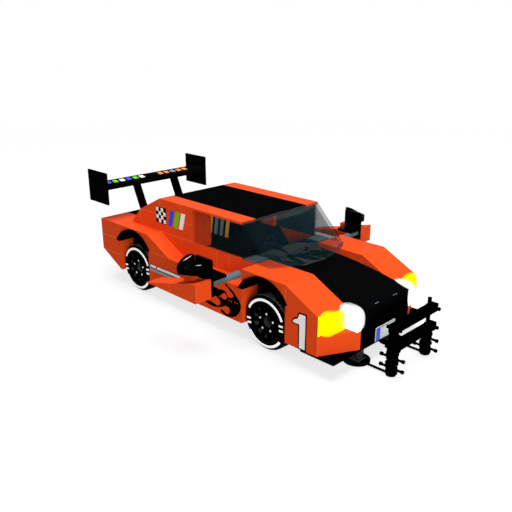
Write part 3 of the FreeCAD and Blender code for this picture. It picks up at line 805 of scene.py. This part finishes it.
class PrintTops(bpy.types.Operator):
    """Lays the streaked print under the windscreen with painted teal shade on its edges, painted highlights along the
    hood's front edge, and the bars on the wing
    """
    bl_idname = "race_car.top_prints"
    bl_label = "Top prints"

    # Outlines in pitches from the tail and the middle
    GROUND = ((12.05, -2.75), (12.98, -2.75), (12.985, -1.98), (13.6, -1.7), (13.95, -1.25), (14.35, -0.7),
              (14.45, 0.8), (14.3, 1.4), (14.15, 1.97), (12.985, 1.98), (12.98, 2.75), (12.05, 2.75))
    STREAKS = (
        ((12.06, -0.7), (12.06, -0.13), (12.29, -0.23), (12.98, -0.48), (12.94, -0.67), (12.31, -0.6)),
        ((12.06, -2.1), (12.06, -1.8), (12.5, -1.91), (12.29, -2.02)),
        ((12.06, 1.26), (12.06, 1.91), (12.44, 1.55), (12.2, 1.36)),
        ((13.0, 0.8), (13.0, 1.05), (13.34, 1.5), (13.85, 1.8), (13.52, 1.71), (13.29, 1.88), (13.05, 1.96),
         (14.15, 1.96), (14.33, 1.29), (14.42, 0.83), (13.73, 0.62), (13.41, 0.45), (13.07, 0.48), (13.2, 0.78),
         (13.37, 0.91), (13.11, 0.98)),
        ((13.0, -0.67), (13.03, 0.43), (13.41, 0.45), (13.82, 0.52), (14.39, 0.7), (14.4, 0.46), (14.17, 0.1),
         (13.82, -0.02), (13.33, -0.17), (13.05, -0.5)),
        ((13.0, -0.95), (13.04, -0.6), (13.09, -0.3), (13.6, -0.35), (14.19, -0.48), (13.98, -0.64),
         (13.5, -0.71), (13.12, -0.65)),
    )
    # Painted shade: teal patches on the edges of the cowl print
    SHADE = (
        ((12.4, -1.55), (12.4, -2.2), (12.98, -2.0), (13.5, -1.72), (14.05, -1.28), (14.25, -0.75),
         (14.25, -0.45), (13.74, -0.68), (13.1, -1.12)),
        ((12.08, 1.0), (12.08, 2.0), (12.65, 2.3), (12.98, 2.4), (12.9, 1.7), (12.6, 1.4)),
    )
    # Painted highlights: two thin pale lines along the hood's front edge
    DASHES = (slab(18.89, -0.86, 18.91, -0.52), slab(18.92, 0.62, 18.94, 0.98))

    def execute(self, context):
        self.draped("cowl_print", (self.GROUND,), "streaked_print", 0.08 * MM)
        # Painted teal shade over the cowl print's edges
        self.draped("cowl_shade", self.SHADE, "teal_ink", 0.12 * MM)
        self.draped("cowl_streaks", self.STREAKS, "black_ink", 0.16 * MM)
        # Painted highlights on the hood's front edge, in pale ink
        self.draped("hood_dashes", self.DASHES, "pale_ink", 0.1 * MM)
        self.arm_roots()
        self.wing()
        return {"FINISHED"}

    def draped(self, name, shapes, finish, lift):
        """Lays outlines, counted in pitches, on the cowl and down the step onto the hood."""
        hood = frame["nodes"]["hood"].data
        tree = BVHTree.FromPolygons([v.co.copy() for v in hood.vertices], [tuple(f.vertices) for f in hood.polygons])
        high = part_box("cowl")[1]
        top, step = high[2], high[0]
        bm = bmesh.new()
        for shape in shapes:
            bm.faces.new([bm.verts.new(grid(x, y, 4)) for x, y in shape])
        bmesh.ops.triangulate(bm, faces=bm.faces)
        # Cut close to both sides of the step, then every millimetre, so that the print can bend
        near = 0.12 * MM
        for cut in [step - near, step] + [step + near + k * MM for k in range(13)]:
            bmesh.ops.bisect_plane(bm, geom=bm.verts[:] + bm.edges[:] + bm.faces[:], plane_co=(cut, 0, 0),
                                   plane_no=(1, 0, 0))
        for vert in bm.verts:
            # The hood is level across, so its height is read nearer the middle, where it is sure to be
            over = Vector((vert.co.x, 0.5 * vert.co.y, vert.co.z))
            hit = tree.ray_cast(over, Vector((0, 0, -1)))[0] if vert.co.x > step + 0.05 * MM else None
            vert.co.z = (hit.z if hit else top) + lift
        put(name, from_bmesh(name, bm, False), finish, "car")

    def arm_roots(self):
        """The clear blocks that the side arms grow from."""
        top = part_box("cowl")[1][2]
        bm = bmesh.new()
        for side in (-1, 1):
            a, b = grid(12.1, side * 2.05, 0), grid(12.95, side * 2.95, 0)
            bar_into(bm, (a.x, min(a.y, b.y), top), (b.x, max(a.y, b.y), top + 0.5 * MM))
        rounded(put("arm_roots", from_bmesh("arm_roots", bm, False), "grey_tube", "car"), sizes().edge)

    def wing(self):
        """Plain leaning bars on the wing's flat top, in two groups."""
        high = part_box("wing_plane")[1]
        at = Matrix.Translation((high[0], 0, high[2])) @ Matrix.Rotation(math.pi / 2, 4, "Z")
        bars = (("blue", (-30.4, -18.4)), ("green", (-26.4, -14.4)), ("white", (-22.4, -10.4)),
                ("amber", (1.6, 5.6, 13.6, 17.6)), ("pale", (9.6,)))
        for ink, starts in bars:
            sticker("wing_" + ink, at, [slab(x, 1.6, x + 2.6, 6.4, 1.4) for x in starts], ink + "_ink")


class BuildLamps(bpy.types.Operator):
    """Adds the soft glow round the lit lamps, the orange over them and the blue band of the plate"""
    bl_idname = "race_car.lamps"
    bl_label = "Lamps"

    # For each lamp: two corners in pitches, how square its glow is, its reach and its roll in degrees
    GLOWS = (
        ("white", (18.0, -2.5, -1.85), (19.05, -1.85, -0.94), 0.72, 1.0, 0),
        ("yellow", (17.95, -3.96, -2.12), (18.3, -1.95, -1.06), 0.5, 0.5, -14),
    )
    VEILS = (0.3, 0.8, 1.3)
    # Turns a print's plane to face forward, its X to the car's left
    FORWARD = Matrix((Vector((0, 1, 0)), Vector((0, 0, 1)), Vector((1, 0, 0)))).transposed().to_4x4()

    def execute(self, context):
        for glow in self.GLOWS:
            for side, tag in ((-1, "left"), (1, "right")):
                self.glow(side, tag, *glow)
        brow = [(-31.6, -7.9), (-16.0, -7.9), (-16.0, -9.7)]
        at = Matrix.Translation(grid(18.0, 0, 0)) @ self.FORWARD
        for side, tag in ((-1, "right"), (1, "left")):
            sticker("lamp_brow_" + tag, at, [brow], "orange_abs", flip=side > 0)
        self.plate()
        return {"FINISHED"}

    def glow(self, side, tag, colour, low, high, power, share, roll):
        """Veils of light, one round the other, each a rounded box grown from the lamp's own."""
        a, b = grid(low[0], side * low[1], low[2]), grid(high[0], side * high[1], high[2])
        centre, core = (a + b) / 2, (b - a) / 2
        reach = sizes().glow_reach * share
        turn = Matrix.Rotation(math.radians(roll * side), 3, "X")
        bm = bmesh.new()
        for veil in self.VEILS:
            half = Vector([abs(c) + reach * veil * k for c, k in zip(core, (1.0, 0.0, 1.0))])
            made = bmesh.ops.create_uvsphere(bm, u_segments=64, v_segments=32, radius=1.0)["verts"]
            for vert in made:
                vert.co = centre + turn @ Vector([math.copysign(abs(c) ** power, c) * h for c, h in zip(vert.co, half)])
        name = "lamp_" + colour + "_glow"
        obj = put(name + "_" + tag, from_bmesh(name, bm), colour + "_glow", "car")
        obj.visible_shadow = False

    def plate(self):
        """The blank plate's blue end and thin black edge."""
        low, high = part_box("number_plate")
        at = Matrix.Translation((high[0], low[1], low[2])) @ self.FORWARD
        tall, wide = (high[2] - low[2]) / MM, (high[1] - low[1]) / MM
        out, inset = 0.1, 0.25
        # The blue band has a painted glow, though it is no lamp
        sticker("plate_band", at, [slab(inset, 0.3, 2.5, tall - 0.3)], "plate_blue")
        edge = [[(out, out), (wide - out, out), (wide - out, tall - out), (out, tall - out)],
                [(inset, inset), (inset, tall - inset), (wide - inset, tall - inset), (wide - inset, inset)]]
        sticker("plate_edge", at, edge, "black_ink")


class BuildFrame(bpy.types.Operator):
    """Builds the grey lattice posts, the collars and stubs of the black ones, the beams' pin ends and the painted
    highlights on the cups
    """
    bl_idname = "race_car.front_frame"
    bl_label = "Front frame"

    # Collars on a black post: share of its height, and radius in mm
    COLLARS = ((0.12, 2.35), (0.3, 2.3), (0.52, 2.5), (0.75, 2.3), (0.93, 2.45))
    STUBS = (0.3, 0.75)
    # Painted highlights on the cups, thin white rods for a reflected streak and a glint: both ends in pitches
    RIDGES = (((11.65, 6.58, 0.74), (11.87, 6.24, 0.98)), ((12.12, 6.18, 0.52), (12.32, 5.99, 0.53)))

    def execute(self, context):
        for name, build, finish, slot, hidden in (
                ("lattice_posts", self.lattice, "post_abs", "grey_frame", ["frame_grey_post"]),
                ("post_collars", self.collars, "frame_abs", "black_frame", ()),
                ("beam_pins", self.pins, "frame_abs", "black_frame", ())):
            bm = bmesh.new()
            build(bm)
            put(name, from_bmesh(name, bm, False), finish, "car", hidden)
        bm = bmesh.new()
        for side in (-1, 1):
            for start, end in self.RIDGES:
                a, b = grid(start[0], side * start[1], start[2]), grid(end[0], side * end[1], end[2])
                for tip in (a, b):
                    rod_into(bm, (a + b) / 2, tip, 0.17 * MM, 12, 0.06 * MM)
        # The cups' painted highlights, in white ink
        put("cup_ridges", from_bmesh("cup_ridges", bm), "white_ink", "car")
        return {"FINISHED"}

    def lattice(self, bm):
        """Two open posts: four legs and a core, levels between them and a brace across each opening."""
        low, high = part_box("frame_grey_post")
        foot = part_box("frame_foot")[1][2]
        bar, flange, half, core, levels = sizes().strut_side, 0.8 * MM, 1.9 * MM, 0.8 * MM, 3
        wide = (high[0] - low[0]) / 2
        heights = [foot + flange + (high[2] - bar - foot - flange) * k / levels for k in range(levels + 1)]
        cx = (low[0] + high[0]) / 2
        for side in (-1, 1):
            cy = side * (high[1] - wide)
            bar_into(bm, (cx - wide, cy - wide, foot), (cx + wide, cy + wide, foot + flange))
            for sx in (-1, 1):
                for sy in (-1, 1):
                    x, y = cx + sx * (half - bar / 2), cy + sy * (half - bar / 2)
                    bar_into(bm, (x - bar / 2, y - bar / 2, foot), (x + bar / 2, y + bar / 2, high[2]))
            for z in heights:
                bar_into(bm, (cx - half, cy - half, z), (cx + half, cy + half, z + bar * 0.8))
            bar_into(bm, (cx - core, cy - core, foot), (cx + core, cy + core, high[2]))
            for k, (below, above) in enumerate(zip(heights, heights[1:])):
                for face in range(4):
                    turn = Matrix.Translation((cx, cy, 0)) @ Matrix.Rotation(face * math.pi / 2, 4, "Z")
                    out, across = half - bar * 0.3, (half - bar) * (1 if k % 2 else -1)
                    a, b = turn @ Vector((out, across, below)), turn @ Vector((out, -across, above))
                    rod_into(bm, a, b, bar * 0.45, 8)

    def collars(self, bm):
        """Collars round the black posts, and stubs that stick out before and behind."""
        low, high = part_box("frame_black_post")
        cx = (low[0] + high[0]) / 2
        span = high[2] - low[2]
        for side in (-1, 1):
            y = side * (high[1] - 2.0 * MM)
            for share, radius in self.COLLARS:
                z = low[2] + span * share
                rod_into(bm, (cx, y, z - 0.35 * MM), (cx, y, z + 0.35 * MM), radius * MM, 24)
            for share in self.STUBS:
                z = low[2] + span * share
                for tip in (-1, 1):
                    end = cx + tip * (high[0] - cx)
                    rod_into(bm, (end - tip * 1.0 * MM, y, z), (end, y, z), 0.75 * MM, 16)

    def pins(self, bm):
        """A pin through each end of both beams, with a head before and behind."""
        # Along the car in mm from the beam's middle: start, end, radius
        parts = ((-2.9, 3.2, 0.55), (2.2, 3.2, 0.75), (-2.9, -2.1, 0.75))
        for node in ("frame_beam_low", "frame_beam_high"):
            low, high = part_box(node)
            cx, cz = (low[0] + high[0]) / 2, (low[2] + high[2]) / 2
            for y in (low[1] + 1.4 * MM, high[1] - 1.6 * MM):
                for start, end, radius in parts:
                    rod_into(bm, (cx + start * MM, y, cz), (cx + end * MM, y, cz), radius * MM, 16)


class SetStage(bpy.types.Operator):
    """Lays the pale floor, hangs the soft lights and sets the camera at the photograph's angle"""
    bl_idname = "race_car.stage"
    bl_label = "Stage"

    # Area lights: place and side in metres, power in watts
    LIGHTS = (("top_light", (0.1, 0.0, 1.3), 18.5, 0.9), ("front_light", (1.2, -0.6, 0.4), 13.0, 0.7))

    def execute(self, context):
        scene = context.scene
        bm = bmesh.new()
        bmesh.ops.create_grid(bm, x_segments=1, y_segments=1, size=4.0)
        mesh = from_bmesh("floor", bm)
        floor = new_object("floor", mesh)
        mesh.materials.append(self.floor_material())
        scene.world = self.studio()
        for name, where, power, side in self.LIGHTS:
            light = bpy.data.lights.new(name, "AREA")
            light.energy = power
            light.size = side
            lamp = new_object(name, light)
            lamp.location = where
            lamp.rotation_euler = (Vector((0, 0, 0.02)) - Vector(where)).to_track_quat("-Z", "Y").to_euler()
        camera = new_object("camera", bpy.data.cameras.new("camera"))
        camera.data.lens = FOCAL_PIXELS * SENSOR_MM / PHOTO_PIXELS
        camera.data.sensor_width = SENSOR_MM
        camera.data.clip_start = 0.01
        camera.location = grid(*CAMERA_AT)
        yaw, pitch = math.radians(CAMERA_YAW), math.radians(CAMERA_PITCH)
        view = Vector((math.cos(pitch) * math.cos(yaw), math.cos(pitch) * math.sin(yaw), math.sin(pitch)))
        camera.rotation_euler = view.to_track_quat("-Z", "Y").to_euler()
        scene.camera = camera
        scene.view_settings.view_transform = "Standard"
        return {"FINISHED"}

    def studio(self):
        """White surroundings that look white and light the car only softly."""
        world = bpy.data.worlds.new("studio")
        world.use_nodes = True
        world.node_tree.nodes.clear()
        add = partial(add_node, world.node_tree)
        power = add("MapRange", {"Value": seen_directly(add), "To Min": 0.19, "To Max": 1.0})[0]
        sky = add("Background", {"Color": (1, 1, 1, 1), "Strength": power})[0]
        add("OutputWorld", {"Surface": sky})
        return world

    def floor_material(self):
        """Seamless paper: white, whiter with distance, with the car's soft shadow left in it."""
        material, add = start_material("studio_paper")[:2]
        seen = seen_directly(add)
        spot = add("NewGeometry")["Position"]
        away = add("VectorMath", {0: spot}, operation="LENGTH")["Value"]
        reach = add("MapRange", {"Value": away, "From Min": 0.15, "From Max": 0.7, "To Min": 0.75, "To Max": 1.0})[0]
        share = add("Math", {0: seen, 1: reach}, operation="MULTIPLY")[0]
        tone = add("Mix", {"Factor": seen, "A": (0.3, 0.3, 0.3, 1), "B": (1, 1, 1, 1)}, data_type="RGBA")["Result"]
        paper = add("BsdfDiffuse", {"Color": tone})[0]
        white = add("Emission", {"Color": (1, 1, 1, 1), "Strength": 1.0})[0]
        mixed = add("MixShader", {0: share, 1: paper, 2: white})[0]
        add("OutputMaterial", {"Surface": mixed})
        return material


STEPS = (SetStage, DressShell, BuildTyres, BuildRims, PrintSides, PrintTops, BuildLamps, BuildFrame)


class RaceCarPanel(bpy.types.Panel):
    """Lists the sizes, the colours and the steps"""
    bl_idname = "VIEW3D_PT_race_car"
    bl_label = "Race Car"
    bl_space_type = "VIEW_3D"
    bl_region_type = "UI"
    bl_category = "Race Car"

    def draw(self, context):
        for group in (context.scene.race_car_sizes, context.scene.race_car_colours):
            box = self.layout.box()
            for key in group.bl_rna.properties.keys():
                if key not in ("rna_type", "name"):
                    box.prop(group, key)
        for step in STEPS:
            self.layout.operator(step.bl_idname)


CLASSES = (RaceCarSizes, RaceCarColours) + STEPS + (RaceCarPanel,)


def register():
    for item in CLASSES:
        bpy.utils.register_class(item)
    bpy.types.Scene.race_car_sizes = PointerProperty(type=RaceCarSizes)
    bpy.types.Scene.race_car_colours = PointerProperty(type=RaceCarColours)


def unregister():
    del bpy.types.Scene.race_car_colours
    del bpy.types.Scene.race_car_sizes
    for item in reversed(CLASSES):
        bpy.utils.unregister_class(item)


def main():
    register()
    for step in STEPS:
        group, call = step.bl_idname.split(".")
        getattr(getattr(bpy.ops, group), call)()


if __name__ == "__main__":
    main()
